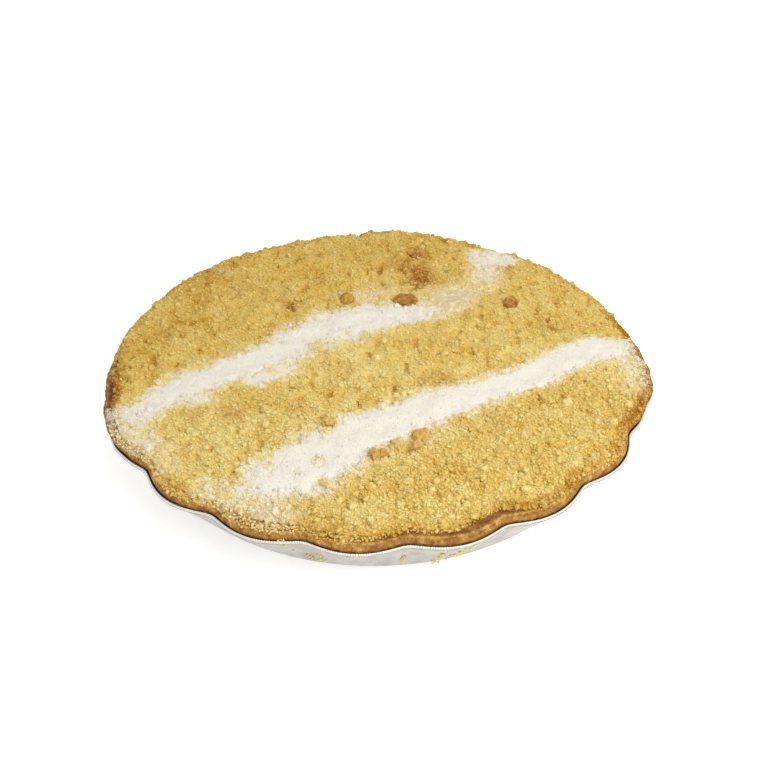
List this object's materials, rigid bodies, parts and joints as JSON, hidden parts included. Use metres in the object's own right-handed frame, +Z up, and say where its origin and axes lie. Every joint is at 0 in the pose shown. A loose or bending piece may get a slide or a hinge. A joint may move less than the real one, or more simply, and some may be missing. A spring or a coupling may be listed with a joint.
{
  "type": "apple crumble pie in a foil tin",
  "caption": "Round apple crumble pie with a browned fluted crust and a low domed crumble topping, sitting in its shallow fluted foil tin with a turned rim.",
  "frame": {"origin": "under the middle of the tin's base, on the surface that it stands on", "axes": "+Z up through the middle of the pie; -Y towards the viewer of the picture; +X to the viewer's right"},
  "size_m": [0.2733, 0.2719, 0.0442],
  "materials": {
    "foil": "bright thin foil with soft creases",
    "baked_pastry": "baked golden-brown pastry",
    "crumble": "dry golden crumbs with off-white powdered sugar",
    "browned_crumble": "orange-brown baked lumps"
  },
  "bodies": {
    "root": {"foil_tin": "foil", "pastry_case": "baked_pastry", "crumble": "crumble", "baked_lump_left": "browned_crumble", "baked_lump_middle": "browned_crumble", "baked_lump_right": "browned_crumble"}
  },
  "joints": []
}
